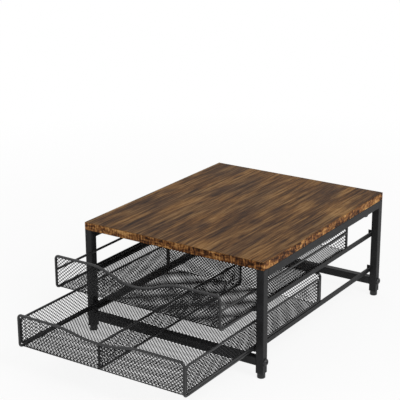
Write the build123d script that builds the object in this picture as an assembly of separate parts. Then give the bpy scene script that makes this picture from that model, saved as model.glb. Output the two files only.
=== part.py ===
"""Two-tier coffee pod drawer: a board on a square-tube stand, with two mesh drawers on angle rails.

Millimetres. Origin on the floor, midway between the four feet. +X right, +Y to the back, +Z up.
Both drawers stand part way out towards -Y.
"""
from build123d import *
import os

# Stand, over its outsides. Its height follows from what it holds
stand_width = 310.0
stand_depth = 370.0
board_thickness = 12.0
board_edge_radius = 0.8

# Square tube of the legs, aprons and cross bars
tube = 12.0
tube_wall = 1.0
tube_corner = 1.0
bar_bottom = 19.0          # underside of the cross bars, above the floor

# Feet: a round glide on a threaded stud in a plug at the foot of each leg
foot_height = 8.0
foot_diameter = 12.0
foot_edge_radius = 1.2
plug_length = 12.0
stud_in_glide = 3.0
stud_in_plug = 10.0

# Button-head screws, and what they screw into
screw_diameter = 5.8
screw_hole = 6.6
screw_head_diameter = 10.5
screw_head_height = 3.3
screw_head_rim = 0.9       # straight part below the dome
screw_head_flat = 6.0      # across the top of the dome
hex_key = 4.0
hex_depth = 2.0
bar_plug_length = 14.0
bar_screw_reach = 11.0     # of the shank past the leg
board_screw_inset = 51.0   # from the stand's front and back faces
board_screw_reach = 9.0    # of the shank into the board
insert_diameter = 9.0
insert_length = 9.5
insert_hole_depth = 10.0

# Angle rails, one pair for each drawer
rail_flange = 10.0
rail_height = 7.5
rail_thickness = 1.2
rail_bend = 1.0

# Drawers
wire = 4.0                 # wire of the front and back frames and the runners
thin_wire = 3.6            # wire of the side frames, the divider and the middle wires
sheet = 0.8                # expanded mesh
drawer_length = 368.0
frame_rise = 48.2          # from the runner up to the top wire, centre to centre
wire_bend = 5.0            # to the middle of the wire
runner_stub = 15.0         # of each frame, turned along the runner
scoop_half_width = 80.0
upper_scoop_depth = 17.2
lower_scoop_depth = 8.6
middle_wire_rise = 27.2
side_frame_rise = 41.0
divider_rise = 38.4
floor_hem = 4.0

# Diamond openings of the expanded mesh, four times the size of the real ones
mesh_pitch_across = 24.0
mesh_pitch_up = 20.8
mesh_opening_width = 16.4
mesh_opening_height = 14.2
mesh_margin = 2.5          # solid edge left round each panel

# Drawer places
upper_pull = 88.8          # how far out each drawer stands
lower_pull = 173.0

# Clearances
thread_gap = 0.1
plug_gap = 0.05
running_gap = 0.3
side_gap = 0.5
bar_headroom = 8.7         # from the cross bars up to the lower rails
lower_headroom = 7.3       # from the lower drawer up to the upper rails
upper_headroom = 8.6       # from the upper drawer up to the board

runner_seat = rail_thickness + running_gap
drawer_height = frame_rise + wire
lower_rail_bottom = bar_bottom + tube + bar_headroom
upper_rail_bottom = lower_rail_bottom + runner_seat + drawer_height + lower_headroom
board_bottom = upper_rail_bottom + runner_seat + drawer_height + upper_headroom

half_width = stand_width / 2
half_depth = stand_depth / 2
leg_x = half_width - tube / 2
leg_y = half_depth - tube / 2
leg_inside = half_width - tube
tube_inside = tube - 2 * tube_wall
apron_bottom = board_bottom - tube
bar_z = bar_bottom + tube / 2
board_screw_y = half_depth - board_screw_inset
corners = [(x, y) for x in (-leg_x, leg_x) for y in (-leg_y, leg_y)]
board_screws = [(x, y) for x in (-leg_x, leg_x) for y in (-board_screw_y, board_screw_y)]


# Stand --------------------------------------------------------------------------------

def square_tube(length):
    """Square tube along +Z from the origin, open at both ends."""
    section = RectangleRounded(tube, tube, tube_corner) - Rectangle(tube_inside, tube_inside)
    return extrude(section, length)


def hole(diameter, length):
    return Cylinder(diameter / 2, length)


def wood_board():
    board = Box(stand_width, stand_depth, board_thickness)
    board = fillet(board.edges(), board_edge_radius)
    board = Pos(0, 0, board_bottom + board_thickness / 2) * board
    for x, y in board_screws:
        board -= Pos(x, y, board_bottom + insert_hole_depth / 2) * hole(insert_diameter, insert_hole_depth)
    return board


def leg(x, y):
    post = Pos(x, y, foot_height) * square_tube(board_bottom - foot_height)
    return post - Pos(x, y, bar_z) * Rot(0, 90, 0) * hole(screw_hole, 2 * tube)


def apron(x):
    length = stand_depth - 2 * tube
    beam = Pos(x, length / 2, apron_bottom + tube / 2) * Rot(90, 0, 0) * square_tube(length)
    for y in (-board_screw_y, board_screw_y):
        beam -= Pos(x, y, apron_bottom + tube / 2) * hole(screw_hole, 2 * tube)
    return beam


def cross_bar(y):
    return Pos(-leg_inside, y, bar_z) * Rot(0, 90, 0) * square_tube(2 * leg_inside)


def rail(side, bottom):
    """Angle welded inside the legs. Its foot is turned up at the back end to stop the drawer."""
    section = Polyline(
        (0, 0), (-rail_flange, 0), (-rail_flange, rail_thickness),
        (-rail_thickness, rail_thickness), (-rail_thickness, rail_height), (0, rail_height), close=True)
    section = make_face(section)
    section = fillet(section.vertices().sort_by_distance((0, 0))[0], rail_bend)
    angle = Pos(leg_inside, half_depth, bottom) * extrude(Plane.XZ * section, stand_depth)
    stop_width = rail_flange - rail_thickness
    stop = Box(stop_width, rail_thickness, rail_height - rail_thickness)
    angle += Pos(
        leg_inside - rail_thickness - stop_width / 2,
        half_depth - rail_thickness / 2,
        bottom + (rail_height + rail_thickness) / 2) * stop
    return angle if side > 0 else mirror(angle, about=Plane.YZ)


# Feet and fasteners -------------------------------------------------------------------

def button_screw(length):
    """Button-head screw along +Z: the shank's end is at z = length, the head is below z = 0."""
    rim = screw_head_diameter / 2
    flat = screw_head_flat / 2
    top = -screw_head_height
    head = make_face([
        Polyline((flat, top), (0, top), (0, 0), (rim, 0), (rim, -screw_head_rim)),
        TangentArc((flat, top), (rim, -screw_head_rim), tangent=(1, 0))])
    screw = revolve(Plane.XZ * head, Axis.Z)
    screw += extrude(Circle(screw_diameter / 2), length)
    socket = RegularPolygon(hex_key / 2, 6, major_radius=False)
    return screw - extrude(Pos(0, 0, top) * socket, hex_depth)


def screwed(outside, length):
    """A bar drilled along its middle for a screw, from the origin along +Z."""
    return extrude(outside - Circle(screw_diameter / 2 + thread_gap), length)


def tube_plug(length):
    width = tube_inside - 2 * plug_gap
    return screwed(Rectangle(width, width), length)


def bar_plug(side, y):
    return Pos(side * leg_inside, y, bar_z) * Rot(0, -90 * side, 0) * tube_plug(bar_plug_length)


def bar_screw(side, y):
    screw = button_screw(tube + bar_screw_reach)
    return Pos(side * half_width, y, bar_z) * Rot(0, -90 * side, 0) * screw


def board_screw(x, y):
    return Pos(x, y, apron_bottom) * button_screw(tube + board_screw_reach)


def board_insert(x, y):
    ring = Circle(insert_diameter / 2 - plug_gap)
    return Pos(x, y, board_bottom) * screwed(ring, insert_length)


def leg_plug(x, y):
    return Pos(x, y, foot_height) * tube_plug(plug_length)


def foot_glide(x, y):
    glide = extrude(Circle(foot_diameter / 2), foot_height)
    glide = fillet(glide.edges().sort_by(Axis.Z)[0], foot_edge_radius)
    socket = Circle(screw_diameter / 2 + thread_gap)
    glide -= extrude(Pos(0, 0, foot_height - stud_in_glide) * socket, stud_in_glide)
    return Pos(x, y, 0) * glide


def foot_stud(x, y):
    stud = extrude(Circle(screw_diameter / 2), stud_in_glide + stud_in_plug)
    return Pos(x, y, foot_height - stud_in_glide) * stud


# Drawers ------------------------------------------------------------------------------

wire_x = leg_inside - rail_thickness - side_gap - wire / 2
sheet_half_width = wire_x - wire / 2
closed_back = half_depth - runner_seat


class Tier:
    """Where one drawer stands: its runners' height, and the middles of its front and back wires."""

    def __init__(self, rail_bottom, pull):
        self.runner_z = rail_bottom + runner_seat + wire / 2
        self.top_z = self.runner_z + frame_rise
        self.back_y = closed_back - pull - wire / 2
        self.front_y = closed_back - pull - drawer_length + wire / 2
        self.middle_y = (self.front_y + self.back_y) / 2


upper = Tier(upper_rail_bottom, upper_pull)
lower = Tier(lower_rail_bottom, lower_pull)


def arch(tier, scoop):
    """Edges of the top of a frame in its own upright plane, from its left leg to its right leg.

    The scoop falls and rises along two pairs of equal arcs that meet at half its depth.
    """
    foot = tier.runner_z + wire_bend
    shoulder = tier.top_z - wire_bend
    corner = (-wire_x + wire_bend, tier.top_z)
    left = [
        Line((-wire_x, foot), (-wire_x, shoulder)),
        TangentArc((-wire_x, shoulder), corner, tangent=(0, 1))]
    if not scoop:
        mirrored = [mirror(edge, about=Plane.YZ) for edge in left]
        return left + [Line(corner, (-corner[0], corner[1]))] + mirrored
    edge_of_scoop = (-scoop_half_width, tier.top_z)
    halfway = (-scoop_half_width / 2, tier.top_z - scoop / 2)
    fall = TangentArc(edge_of_scoop, halfway, tangent=(1, 0))
    settle = TangentArc(halfway, (0, tier.top_z - scoop), tangent=fall % 1)
    left += [Line(corner, edge_of_scoop), fall, settle]
    return left + [mirror(edge, about=Plane.YZ) for edge in left]


def upright(y):
    """The upright plane at y, with its own x to the right and its own y up."""
    return Plane.XZ.offset(-y)


def joined(lines):
    return Wire([edge for line in lines for edge in line.edges()])


def bent_wire(lines, diameter):
    path = joined(lines)
    return sweep(Plane(path @ 0, z_dir=path % 0) * Circle(diameter / 2), path=path)


def end_frame(tier, y, inward, scoop=0.0):
    """Front or back frame: one wire over the top, down both sides and turned along the runners."""
    lines = [upright(y) * line for line in arch(tier, scoop)]
    for x in (-wire_x, wire_x):
        turned = (x, y + inward * wire_bend, tier.runner_z)
        lines.append(TangentArc((x, y, tier.runner_z + wire_bend), turned, tangent=(0, 0, -1)))
        lines.append(Line(turned, (x, y + inward * runner_stub, tier.runner_z)))
    return bent_wire(lines, wire)


def straight_wire(x, z, start, end, diameter):
    return Pos(x, end, z) * Rot(90, 0, 0) * extrude(Circle(diameter / 2), end - start)


def runners(tier):
    ends = (tier.front_y + runner_stub, tier.back_y - runner_stub)
    return [straight_wire(x, tier.runner_z, *ends, wire) for x in (-wire_x, wire_x)]


def middle_wires(tier):
    ends = (tier.front_y + wire / 2, tier.back_y - wire / 2)
    height = tier.runner_z + middle_wire_rise
    return [straight_wire(x, height, *ends, thin_wire) for x in (-wire_x, wire_x)]


def meshed(panel):
    """A flat panel's face with rows of staggered diamond openings, as many as fit inside it."""
    face = panel.face()
    box = face.bounding_box()
    wide = mesh_opening_width / 2
    high = mesh_opening_height / 2
    reach = Vector(wide + mesh_margin, high + mesh_margin)
    columns = 1 + 2 * int((box.size.X - 2 * reach.X) / mesh_pitch_across)
    rows = 1 + int((box.size.Y - 2 * reach.Y) / (mesh_pitch_up / 2))
    places = [
        box.center() + Vector(
            (column - (columns - 1) / 2) * mesh_pitch_across / 2,
            (row - (rows - 1) / 2) * mesh_pitch_up / 2)
        for column in range(columns)
        for row in range(rows)
        if (column + row) % 2 == 0]
    tips = [Vector(reach.X, 0), Vector(0, reach.Y), Vector(-reach.X, 0), Vector(0, -reach.Y)]
    places = [place for place in places if all(face.is_inside(place + tip) for tip in tips)]
    diamond = Polyline((wide, 0), (0, high), (-wide, 0), (0, -high), close=True)
    openings = [Wire((Pos(*place) * diamond).edges()) for place in places]
    return Face(face.outer_wire(), openings)


def end_sheet(tier, y, inward, scoop=0.0):
    """Mesh panel inside an end frame, folded round at the foot to meet the floor."""
    outline = arch(tier, scoop)
    foot = tier.runner_z + wire_bend
    outline.append(Line((-wire_x, foot), (wire_x, foot)))
    inside = offset(make_face(joined(outline)), amount=-wire / 2)
    band = Pos(0, foot + wire / 2) * Rectangle(2 * sheet_half_width, wire)
    panel = extrude(upright(y + sheet / 2) * meshed(inside + band), sheet)
    turn = Circle(wire_bend + sheet / 2) - Circle(wire_bend - sheet / 2)
    quarter = turn & Pos(-inward * wire_bend, -wire_bend) * Rectangle(2 * wire_bend, 2 * wire_bend)
    fold = extrude(Plane.YZ * quarter, sheet_half_width, both=True)
    return panel + Pos(0, y + inward * wire_bend, foot) * fold


def floor_sheet(tier, hem=0.0):
    """Mesh floor between the folds of the end sheets, its side edges turned up by the hem."""
    length = tier.back_y - tier.front_y - 2 * wire_bend
    floor = extrude(meshed(Rectangle(2 * sheet_half_width, length)), sheet)
    floor = Pos(0, tier.middle_y, tier.runner_z - sheet / 2) * floor
    if hem:
        for side in (-1, 1):
            x = side * (sheet_half_width - sheet / 2)
            z = tier.runner_z + hem / 2
            floor += Pos(x, tier.middle_y, z) * Box(sheet, length, hem)
    return floor


def side_plane(x):
    """The plane across the stand at x, with its own x to the back and its own y up."""
    return Plane.YZ.offset(x)


def rounded_frame(x, front, back, bottom, top):
    """A closed frame of thin wire at x, and the mesh sheet inside it."""
    middle = Pos((front + back) / 2, (bottom + top) / 2)
    outline = middle * RectangleRounded(back - front, top - bottom, wire_bend)
    frame = bent_wire([side_plane(x) * edge for edge in outline.edges()], thin_wire)
    inside = offset(outline, amount=-thin_wire / 2)
    return frame, extrude(side_plane(x - sheet / 2) * meshed(inside), sheet)


def side_panel(tier, x):
    """Side frame that stands on a runner, between the legs of the two end frames."""
    touch = (wire + thin_wire) / 2
    return rounded_frame(
        x, tier.front_y + touch, tier.back_y - touch,
        tier.runner_z + touch, tier.runner_z + side_frame_rise)


def divider(tier):
    """Frame that stands on the floor mesh and halves the drawer, from the front to the back."""
    touch = (sheet + thin_wire) / 2
    return rounded_frame(
        0, tier.front_y + touch, tier.back_y - touch,
        tier.runner_z + touch, tier.runner_z + divider_rise)


# Nodes --------------------------------------------------------------------------------

nodes = {"wood_board": [wood_board()]}
sides = {"left": -1, "right": 1}
for side_name, side in sides.items():
    nodes[f"front_{side_name}_leg"] = [leg(side * leg_x, -leg_y)]
    nodes[f"back_{side_name}_leg"] = [leg(side * leg_x, leg_y)]
    nodes[f"{side_name}_apron"] = [apron(side * leg_x)]
    nodes[f"upper_{side_name}_rail"] = [rail(side, upper_rail_bottom)]
    nodes[f"lower_{side_name}_rail"] = [rail(side, lower_rail_bottom)]
nodes["front_cross_bar"] = [cross_bar(-leg_y)]
nodes["back_cross_bar"] = [cross_bar(leg_y)]
nodes["cross_bar_screws"] = [bar_screw(side, y) for side in (-1, 1) for y in (-leg_y, leg_y)]
nodes["cross_bar_plugs"] = [bar_plug(side, y) for side in (-1, 1) for y in (-leg_y, leg_y)]
nodes["board_screws"] = [board_screw(x, y) for x, y in board_screws]
nodes["board_inserts"] = [board_insert(x, y) for x, y in board_screws]
nodes["leg_plugs"] = [leg_plug(x, y) for x, y in corners]
nodes["foot_glides"] = [foot_glide(x, y) for x, y in corners]
nodes["foot_studs"] = [foot_stud(x, y) for x, y in corners]

for name, tier, scoop in (("upper", upper, upper_scoop_depth), ("lower", lower, lower_scoop_depth)):
    nodes[f"{name}_front_frame"] = [end_frame(tier, tier.front_y, 1, scoop)]
    nodes[f"{name}_back_frame"] = [end_frame(tier, tier.back_y, -1)]
    nodes[f"{name}_runners"] = runners(tier)
    nodes[f"{name}_front_mesh"] = [end_sheet(tier, tier.front_y, 1, scoop)]
    nodes[f"{name}_back_mesh"] = [end_sheet(tier, tier.back_y, -1)]
nodes["upper_middle_wires"] = middle_wires(upper)
nodes["upper_floor_mesh"] = [floor_sheet(upper, floor_hem)]
nodes["lower_floor_mesh"] = [floor_sheet(lower)]
for side_name, side in sides.items():
    side_frame, side_mesh = side_panel(lower, side * wire_x)
    nodes[f"lower_{side_name}_side_frame"] = [side_frame]
    nodes[f"lower_{side_name}_side_mesh"] = [side_mesh]
divider_frame, divider_mesh = divider(lower)
nodes["divider_frame"] = [divider_frame]
nodes["divider_mesh"] = [divider_mesh]

os.makedirs("parts", exist_ok=True)
for name, solids in nodes.items():
    bodies = [solid for shape in solids for solid in shape.solids()]
    export_step(bodies[0] if len(bodies) == 1 else Compound(children=bodies), f"parts/{name}.step")
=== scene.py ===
import math
import bpy
import numpy as np
from mathutils import Matrix, Vector


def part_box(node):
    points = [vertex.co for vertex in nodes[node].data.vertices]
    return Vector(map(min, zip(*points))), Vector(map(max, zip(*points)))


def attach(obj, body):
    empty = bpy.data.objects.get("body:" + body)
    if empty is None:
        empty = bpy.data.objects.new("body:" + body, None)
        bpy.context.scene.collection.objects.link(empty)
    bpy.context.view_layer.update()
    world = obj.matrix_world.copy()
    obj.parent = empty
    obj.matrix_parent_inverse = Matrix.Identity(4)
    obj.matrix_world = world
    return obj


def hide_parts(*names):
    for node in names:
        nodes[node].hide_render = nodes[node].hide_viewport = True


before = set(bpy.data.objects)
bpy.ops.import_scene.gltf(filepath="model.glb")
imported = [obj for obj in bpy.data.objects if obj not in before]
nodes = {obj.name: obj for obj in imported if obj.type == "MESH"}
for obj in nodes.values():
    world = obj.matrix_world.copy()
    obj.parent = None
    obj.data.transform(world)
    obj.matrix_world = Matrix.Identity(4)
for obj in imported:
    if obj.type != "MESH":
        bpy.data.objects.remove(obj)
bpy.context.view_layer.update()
scene = bpy.context.scene
scene.view_settings.view_transform = "Standard"


# ---------------------------------------------------------------------------------------------
# Camera. It looks down at the front right corner of the stand from nearly two metres away,
# through a long lens, with both drawers in full view.
camera_place = (0.9307, -1.5061, 0.7706)
camera_pitch = 0.3191
camera_yaw = 0.5873
camera_roll = -0.0047
camera = bpy.data.objects.new("camera", bpy.data.cameras.new("camera"))
camera.data.lens = 109.16
camera.data.sensor_width = 36.0
camera.data.clip_end = 50.0
turn = (Matrix.Rotation(camera_yaw, 4, "Z")
        @ Matrix.Rotation(math.pi / 2 - camera_pitch, 4, "X")
        @ Matrix.Rotation(camera_roll, 4, "Z"))
camera.matrix_world = Matrix.Translation(camera_place) @ turn
scene.collection.objects.link(camera)
scene.camera = camera


# ---------------------------------------------------------------------------------------------
# Floor and light. A plain white floor under a white sky, a broad lamp high on the right, a
# weaker one on the left and a small low one in front. Camera and mirror rays see the sky, and
# the floor far from the stand, at full white.
class Signal:
    """The output of one node. An operator with a number or another Signal adds one Math node."""

    def __init__(self, finish, socket):
        self.finish = finish
        self.socket = socket

    def math(self, operation, first, second):
        return self.finish.node("ShaderNodeMath", {"operation": operation}, {0: first, 1: second})

    def __add__(self, other):
        return self.math("ADD", self, other)

    def __radd__(self, other):
        return self.math("ADD", other, self)

    def __sub__(self, other):
        return self.math("SUBTRACT", self, other)

    def __rsub__(self, other):
        return self.math("SUBTRACT", other, self)

    def __mul__(self, other):
        return self.math("MULTIPLY", self, other)

    def __rmul__(self, other):
        return self.math("MULTIPLY", other, self)


class Finish:
    """A material, or the node tree given. paint() feeds its shader, cover() puts it on nodes."""

    def __init__(self, name, tree=None, **plain):
        if tree is None:
            self.material = bpy.data.materials.new(name)
            self.material.use_nodes = True
            tree = self.material.node_tree
            self.shader = tree.nodes["Principled BSDF"]
            self.paint(**plain)
        self.tree = tree

    def feed(self, node, inputs):
        for key, value in inputs.items():
            if isinstance(value, Signal):
                value.finish.tree.links.new(value.socket, node.inputs[key])
            else:
                node.inputs[key].default_value = value

    def node(self, kind, settings=None, inputs=None, output=0):
        """Adds a node: its settings are set first, then each input is set or linked."""
        made = self.tree.nodes.new(kind)
        for key, value in (settings or {}).items():
            if key == "stops":
                ramp = made.color_ramp.elements
                while len(ramp) < len(value):
                    ramp.new(0.5)
                for stop, (position, colour) in zip(ramp, value):
                    stop.position = position
                    stop.color = (*colour, 1.0)
            else:
                setattr(made, key, value)
        self.feed(made, inputs or {})
        return Signal(self, made.outputs[output])

    def shades(self, signal, *stops):
        """A colour ramp: each stop is a value of the signal and its colour."""
        return self.node("ShaderNodeValToRGB", {"stops": stops}, {"Fac": signal})

    def between(self, signal, low, high, first=0.0, last=1.0):
        """A straight slope from first to last as the signal goes from low to high."""
        return self.node("ShaderNodeMapRange", {"clamp": True}, {
            "Value": signal, "From Min": low, "From Max": high, "To Min": first, "To Max": last})

    def paint(self, **inputs):
        self.feed(self.shader, {key.replace("_", " "): value for key, value in inputs.items()})

    def cover(self, *names):
        for name in names:
            nodes[name].data.materials.clear()
            nodes[name].data.materials.append(self.material)


floor_reach = 6.0
shadow_reach = 0.4      # from the middle of the stand: nearer than this the shadow shows most
white_reach = 1.3       # farther than this the floor is as white as the sky
shadow_glow = 0.88      # share of plain white in the floor's look within shadow_reach
floor_corners = [(x * floor_reach, y * floor_reach, 0) for x, y in ((-1, -1), (1, -1), (1, 1), (-1, 1))]
floor_mesh = bpy.data.meshes.new("floor")
floor_mesh.from_pydata(floor_corners, [], [(0, 1, 2, 3)])
floor = bpy.data.objects.new("floor", floor_mesh)
scene.collection.objects.link(floor)
ground = Finish("floor_white", Base_Color=(0.86, 0.86, 0.86, 1), Roughness=0.9)
seen = (ground.node("ShaderNodeLightPath", output="Is Camera Ray")
        + ground.node("ShaderNodeLightPath", output="Is Glossy Ray"))
floor_spot = ground.node("ShaderNodeTexCoord", output="Object")
distance = ground.node("ShaderNodeVectorMath", {"operation": "LENGTH"}, {0: floor_spot}, output="Value")
whiteness = ground.between(distance, shadow_reach, white_reach, shadow_glow, 1.0)
glow = ground.node("ShaderNodeEmission", {}, {"Color": (1, 1, 1, 1), "Strength": 1.0})
lit = Signal(ground, ground.shader.outputs[0])
both = ground.node("ShaderNodeMixShader", {}, {0: seen * whiteness, 1: lit, 2: glow})
ground.feed(ground.tree.nodes["Material Output"], {0: both})
floor_mesh.materials.append(ground.material)

sky_level = 0.55        # of full white, for the light that the sky gives
world = bpy.data.worlds.new("sky")
scene.world = world
world.use_nodes = True
sky = Finish("sky", tree=world.node_tree)
direct = (sky.node("ShaderNodeLightPath", output="Is Camera Ray")
          + sky.node("ShaderNodeLightPath", output="Is Glossy Ray")
          + sky.node("ShaderNodeLightPath", output="Is Transmission Ray"))
sky.feed(sky.tree.nodes["Background"],
         {"Color": (1, 1, 1, 1), "Strength": sky_level + direct * (1 - sky_level)})

# Each lamp's name, place, width and power. They face the floor under the middle of the stand.
lamps = (("lamp_right", Vector((1.75, -0.6, 1.65)), 1.2, 29.5),
         ("lamp_left", Vector((-1.2, -1.4, 1.3)), 1.4, 4.0),
         ("lamp_low", Vector((1.1, -2.1, 0.5)), 0.5, 5.0))
for name, lamp_place, width, power in lamps:
    lamp = bpy.data.lights.new(name, "AREA")
    lamp.size = width
    lamp.energy = power
    lamp_object = bpy.data.objects.new(name, lamp)
    lamp_object.rotation_euler = (-lamp_place).to_track_quat("-Z", "Y").to_euler()
    lamp_object.location = lamp_place
    scene.collection.objects.link(lamp_object)


# ---------------------------------------------------------------------------------------------
# Board. A brown wood-grain board with its grain running front to back: dark streaks, lines and
# a few knots on top, in browner and more golden parts, and a warmer, redder edge all round.
def stretched(finish, scale, **inputs):
    """Noise at the object's own place, drawn out along the axes with the smaller scales."""
    spot = finish.node("ShaderNodeTexCoord", output="Object")
    spot = finish.node("ShaderNodeMapping", {}, {"Vector": spot, "Scale": scale})
    values = {"Vector": spot, "Scale": 1.0, "Detail": 4.0, "Roughness": 0.6}
    values.update({key.replace("_", " "): value for key, value in inputs.items()})
    return finish.node("ShaderNodeTexNoise", {}, values)


wood = Finish("board_wood")
board_spot = wood.node("ShaderNodeTexCoord", output="Object")
patches = stretched(wood, (62, 10, 62), Detail=2.0, Distortion=0.8)
streaks = stretched(wood, (230, 8, 230), Detail=6.0, Roughness=0.70, Distortion=0.3)
pores = stretched(wood, (900, 40, 900), Detail=3.0)
line_noise = stretched(wood, (300, 11, 300), Detail=3.0, Distortion=0.5)
lines = wood.between(line_noise, 0.36, 0.47, 1.0, 0.0)
knot_spot = wood.node("ShaderNodeMapping", {}, {
    "Vector": board_spot, "Scale": (13, 5, 13), "Location": (0.3, 0.1, 0)})
knot_distance = wood.node("ShaderNodeTexVoronoi", {}, {"Vector": knot_spot, "Scale": 1.0})
knots = wood.between(knot_distance, 0.03, 0.10, 1.0, 0.0)
grain_level = 0.35      # taken off, so that the grain's middle is near a half
grain = patches * 0.46 + streaks * 0.85 + pores * 0.45 - grain_level - lines * 0.11 - knots * 0.16
umber = wood.shades(grain, (0.36, (0.014, 0.006, 0.002)), (0.46, (0.044, 0.018, 0.006)),
                    (0.55, (0.086, 0.040, 0.013)), (0.68, (0.165, 0.092, 0.034)))
gold = wood.shades(grain, (0.36, (0.034, 0.013, 0.003)), (0.46, (0.110, 0.047, 0.012)),
                   (0.55, (0.190, 0.092, 0.026)), (0.68, (0.310, 0.172, 0.062)))
tone_noise = stretched(wood, (28, 9, 28), Detail=2.0, Roughness=0.45, Distortion=0.5)
tone = wood.between(tone_noise, 0.36, 0.66)
face = wood.node("ShaderNodeMix", {"data_type": "RGBA"}, {0: tone, 6: umber, 7: gold}, output=2)

broad_flames = stretched(wood, (26, 26, 80), Detail=2.0, Distortion=1.2)
small_flames = stretched(wood, (130, 130, 220), Detail=4.0, Distortion=1.4)
strokes = stretched(wood, (520, 520, 90), Detail=2.0)
flame_level = 0.44      # taken off, so that the flames' middle is near a half
flames = broad_flames * 0.75 + small_flames * 0.50 + strokes * 0.60 - flame_level
edge = wood.shades(flames, (0.36, (0.018, 0.007, 0.003)), (0.46, (0.110, 0.040, 0.013)),
                   (0.55, (0.265, 0.113, 0.033)), (0.68, (0.500, 0.270, 0.095)))

# The edge's colour ends on the rounded corner, between these depths under the top
top_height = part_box("wood_board")[1].z
edge_ends = 0.0009
face_begins = 0.0002
height = wood.node("ShaderNodeSeparateXYZ", {}, {"Vector": board_spot}, output="Z")
on_top = wood.between(height, top_height - edge_ends, top_height - face_begins)
colour = wood.node("ShaderNodeMix", {"data_type": "RGBA"}, {0: on_top, 6: edge, 7: face}, output=2)
relief = wood.node("ShaderNodeBump", {}, {
    "Strength": 0.3, "Distance": 0.0004, "Height": streaks + pores - knots * 0.5})
wood.paint(Base_Color=colour, Roughness=0.70 - streaks * 0.2, Normal=relief,
           Specular_IOR_Level=0.10)
wood.cover("wood_board")


# ---------------------------------------------------------------------------------------------
# Stand. Square steel tube and rolled angle, welded and coated in satin black powder paint with
# a fine orange-peel surface.
coat = Finish("stand_coat")
mottle = stretched(coat, (60, 60, 60), Detail=2.0)
peel = stretched(coat, (1400, 1400, 1400), Detail=1.0)
coat_colour = coat.shades(mottle, (0.3, (0.013, 0.013, 0.0135)), (0.7, (0.020, 0.020, 0.021)))
orange_peel = coat.node("ShaderNodeBump", {}, {
    "Strength": 0.12, "Distance": 0.0002, "Height": peel})
coat.paint(Base_Color=coat_colour, Roughness=0.40 + mottle * 0.14, Normal=orange_peel,
           Specular_IOR_Level=0.12)
coat.cover("front_left_leg", "front_right_leg", "back_left_leg", "back_right_leg", "left_apron",
           "right_apron", "upper_left_rail", "upper_right_rail", "lower_left_rail",
           "lower_right_rail", "front_cross_bar", "back_cross_bar")


# ---------------------------------------------------------------------------------------------
# Screws and feet. Black button-head screws, moulded black glides on zinc-plated studs, and the
# plugs and inserts that they are screwed into.
black_zinc = Finish("screw_black", Metallic=0.6)
wear = stretched(black_zinc, (500, 500, 500), Detail=3.0)
screw_colour = black_zinc.shades(wear, (0.35, (0.020, 0.020, 0.021)), (0.75, (0.060, 0.060, 0.062)))
black_zinc.paint(Base_Color=screw_colour, Roughness=0.3 + wear * 0.2)
black_zinc.cover("cross_bar_screws", "board_screws")

glide_black = Finish("glide_black")
speckle = stretched(glide_black, (700, 700, 700), Detail=2.0)
glide_colour = glide_black.shades(speckle, (0.3, (0.010, 0.010, 0.0105)),
                                  (0.7, (0.018, 0.018, 0.019)))
glide_black.paint(Base_Color=glide_colour, Roughness=0.14 + speckle * 0.10,
                  Specular_IOR_Level=0.3)
glide_black.cover("foot_glides", "leg_plugs")

zinc = Finish("stud_zinc", Metallic=1.0)
bloom = stretched(zinc, (300, 300, 300), Detail=3.0)
zinc_colour = zinc.shades(bloom, (0.3, (0.45, 0.46, 0.48)), (0.7, (0.62, 0.63, 0.64)))
zinc.paint(Base_Color=zinc_colour, Roughness=0.3 + bloom * 0.15)
zinc.cover("foot_studs", "cross_bar_plugs")

brass = Finish("insert_brass", Metallic=1.0)
tarnish = stretched(brass, (300, 300, 300), Detail=3.0)
brass_colour = brass.shades(tarnish, (0.3, (0.50, 0.34, 0.12)), (0.7, (0.72, 0.52, 0.22)))
brass.paint(Base_Color=brass_colour, Roughness=0.3 + tarnish * 0.15)
brass.cover("board_inserts")


# ---------------------------------------------------------------------------------------------
# Drawer wires. Bent steel wire, spot-welded where it crosses and coated with the mesh in the
# same black, a little glossier where the coating has run round the wire.
wire_coat = Finish("wire_coat")
run = stretched(wire_coat, (120, 120, 120), Detail=2.0)
wire_colour = wire_coat.shades(run, (0.3, (0.010, 0.010, 0.0105)), (0.7, (0.016, 0.016, 0.017)))
wire_coat.paint(Base_Color=wire_colour, Roughness=0.26 + run * 0.14, Specular_IOR_Level=0.40)
wire_coat.cover(*[name for name in nodes if name.endswith(("_wires", "_runners", "frame"))])


# ---------------------------------------------------------------------------------------------
# Drawer mesh. Expanded steel: one sheet slit and pulled open into rows of diamonds, about half
# of it open, its strands tipped by the stretching. The ends are folded round at the foot to
# meet the floor.
mesh_coat = Finish("mesh_coat")
dusting = stretched(mesh_coat, (160, 160, 160), Detail=2.0)
mesh_colour = mesh_coat.shades(dusting, (0.3, (0.009, 0.009, 0.0095)), (0.7, (0.015, 0.015, 0.016)))
mesh_coat.paint(Base_Color=mesh_colour, Roughness=0.38 + dusting * 0.14, Specular_IOR_Level=0.16)

# A diamond's outline goes round its points and mid-sides, in steps of a quarter of its width
# and height. Its opening has the same eight directions, drawn in by one share at the points
# and by another at the mid-sides.
diamond_width = 0.0060
diamond_height = 0.0052
strand_thickness = 0.0008
strand_tip = 0.00012
outline = np.array([(2, 0), (1, 1), (0, 2), (-1, 1), (-2, 0), (-1, -1), (0, -2), (1, -1)])
opening_reach = 1.40
opening_side = 0.76
opening = outline * np.tile([opening_reach / 2, opening_side], 4)[:, None]


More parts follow.
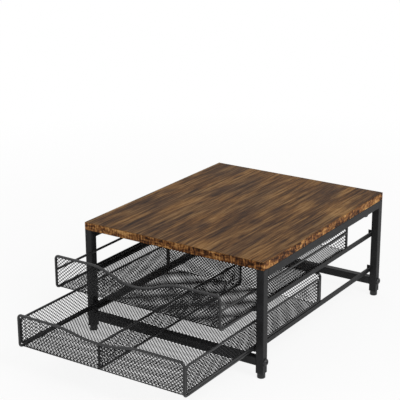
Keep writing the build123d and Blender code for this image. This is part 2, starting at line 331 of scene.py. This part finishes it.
def expanded(name, body, node, across, up, place, crest=None, skip=1):
    """A sheet of expanded metal over the rectangle across x up, bent into shape by place.

    The rectangle is tiled with diamonds whose centres alternate from row to row. Each diamond is
    a ring of every skip-th point of its outline, shared with its neighbours and doubled to the
    front and back by half the thickness, and as many on its opening, half-way between the two
    and tipped in proportion to their height in it. Points past the rectangle or above crest(u)
    move to its edge, and the border between the front and back is closed. place(u, v, w) gives
    x, y and z of a point w proud of the sheet.
    """
    (u_low, u_high), (v_low, v_high) = across, up
    columns = round(2 * (u_high - u_low) / diamond_width)
    rows = round(2 * (v_high - v_low) / diamond_height)
    step = np.array([(u_high - u_low) / columns, (v_high - v_low) / rows]) / 2
    start = np.array([u_low, v_low])
    centre = np.stack(np.meshgrid(np.arange(columns + 1), np.arange(rows + 1)), -1).reshape(-1, 2)
    centre = 2 * centre[centre.sum(1) % 2 == 0]
    if crest is not None:
        lowest = start + (centre - (0, 2)) * step
        centre = centre[lowest[:, 1] < crest(lowest[:, 0])]
    ring, gap = outline[::skip], opening[::skip]
    rim = centre[:, None] + ring
    rim, index = np.unique(rim.reshape(-1, 2), axis=0, return_inverse=True)
    index = index.reshape(-1, len(ring))
    rim_count = len(rim)
    hole = (centre[:, None] + gap).reshape(-1, 2)
    flat = start + np.concatenate([rim, rim, hole]) * step
    flat = np.clip(flat, start, (u_high, v_high))
    if crest is not None:
        flat[:, 1] = np.minimum(flat[:, 1], crest(flat[:, 0]))
    lean = -strand_tip * np.tile(gap[:, 1] / opening_reach, len(centre))
    proud = np.concatenate([np.full(rim_count, strand_thickness / 2),
                            np.full(rim_count, -strand_thickness / 2), lean])
    points = np.stack(place(flat[:, 0], flat[:, 1], proud), -1)

    ahead = np.roll(index, -1, axis=1)
    inner = 2 * rim_count + np.arange(len(hole)).reshape(-1, len(ring))
    inner_ahead = np.roll(inner, -1, axis=1)
    front = np.stack([index, ahead, inner_ahead, inner], -1).reshape(-1, 4)
    back = np.stack([ahead + rim_count, index + rim_count, inner, inner_ahead], -1).reshape(-1, 4)
    here, there = index.ravel(), ahead.ravel()
    border = ~np.isin(here * rim_count + there, there * rim_count + here)
    here, there = here[border], there[border]
    edge_faces = np.stack([there, here, here + rim_count, there + rim_count], -1)
    faces = np.concatenate([front, back, edge_faces])

    mesh = bpy.data.meshes.new(name)
    mesh.vertices.add(len(points))
    mesh.vertices.foreach_set("co", points.ravel().astype(np.float32))
    mesh.loops.add(faces.size)
    mesh.loops.foreach_set("vertex_index", faces.ravel().astype(np.int32))
    mesh.polygons.add(len(faces))
    mesh.polygons.foreach_set("loop_start", np.arange(0, faces.size, 4, dtype=np.int32))
    mesh.polygons.foreach_set("loop_total", np.full(len(faces), 4, dtype=np.int32))
    mesh.update(calc_edges=True)
    mesh.materials.append(mesh_coat.material)
    piece = bpy.data.objects.new(name, mesh)
    scene.collection.objects.link(piece)
    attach(piece, body)
    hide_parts(node)
    return piece


def half_height(node):
    """Half the height of a level wire's box, which is the wire's radius."""
    low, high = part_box(node)
    return (high.z - low.z) / 2


wire_radius = half_height("upper_runners")
loop_radius = half_height("upper_middle_wires")
fold = 0.005            # radius of the folded foot, to the middle of the sheet
fold_arc = fold * math.pi / 2
scoop_reach = 0.080     # from the middle of the scoop to either end
scoop_depths = {"upper": 0.0172, "lower": 0.0086}
hem_height = 0.004      # of the upper floor's sides, turned up against the runners
for tier, scoop in scoop_depths.items():
    low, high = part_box(f"{tier}_front_frame")
    front_y, wire_x = low.y + wire_radius, high.x - wire_radius
    runner_z, top_z = low.z + wire_radius, high.z - wire_radius
    back_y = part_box(f"{tier}_back_frame")[1].y - wire_radius
    crest_v = top_z - runner_z - fold + fold_arc

    def scooped(u):
        """The top wire's line: level, then two equal arcs down to the middle of the scoop."""
        radius = (scoop_reach ** 2 + scoop ** 2) / (4 * scoop)
        away = np.abs(u)
        fall = radius - np.sqrt(radius ** 2 - np.clip(scoop_reach - away, 0, scoop_reach / 2) ** 2)
        rise = radius - np.sqrt(radius ** 2 - np.clip(away, 0, scoop_reach / 2) ** 2)
        return crest_v - np.where(away > scoop_reach / 2, fall, scoop - rise)

    def end_panel(end_y, inward):
        """Up from the floor: a quarter turn of the fold's radius, then straight up the wire."""
        def place(u, v, w):
            angle = np.minimum(v, fold_arc) / fold
            return (inward * u,
                    end_y + inward * (fold - (fold + w) * np.sin(angle)),
                    runner_z + fold - (fold + w) * np.cos(angle) + np.maximum(v - fold_arc, 0))
        return place

    def floor_panel(u, v, w):
        """Level, with what lies past the wires' inner faces turned straight up as a hem."""
        past = np.maximum(np.abs(u) - hem_x, 0)
        turned = past > 0
        return (np.sign(u) * (np.minimum(np.abs(u), hem_x) - np.where(turned, w, 0)), v,
                runner_z + past + np.where(turned, 0, w))

    sheet_x = wire_x - wire_radius
    hem_x = sheet_x - (strand_thickness / 2 if tier == "upper" else 0)
    expanded(f"{tier}_front_mesh_panel", f"{tier}_drawer", f"{tier}_front_mesh",
             (-wire_x, wire_x), (0, crest_v), end_panel(front_y, 1), scooped)
    expanded(f"{tier}_back_mesh_panel", f"{tier}_drawer", f"{tier}_back_mesh",
             (-wire_x, wire_x), (0, crest_v), end_panel(back_y, -1))
    floor_half = hem_x + hem_height if tier == "upper" else sheet_x
    expanded(f"{tier}_floor_mesh_panel", f"{tier}_drawer", f"{tier}_floor_mesh",
             (-floor_half, floor_half), (front_y + fold, back_y - fold), floor_panel, skip=2)

for part in ("lower_left_side", "lower_right_side", "divider"):
    low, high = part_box(f"{part}_frame")
    middle_x = (low.x + high.x) / 2
    expanded(f"{part}_mesh_panel", "lower_drawer", f"{part}_mesh",
             (low.y + loop_radius, high.y - loop_radius),
             (low.z + loop_radius, high.z - loop_radius),
             lambda u, v, w, x=middle_x: (x + w, u, v))
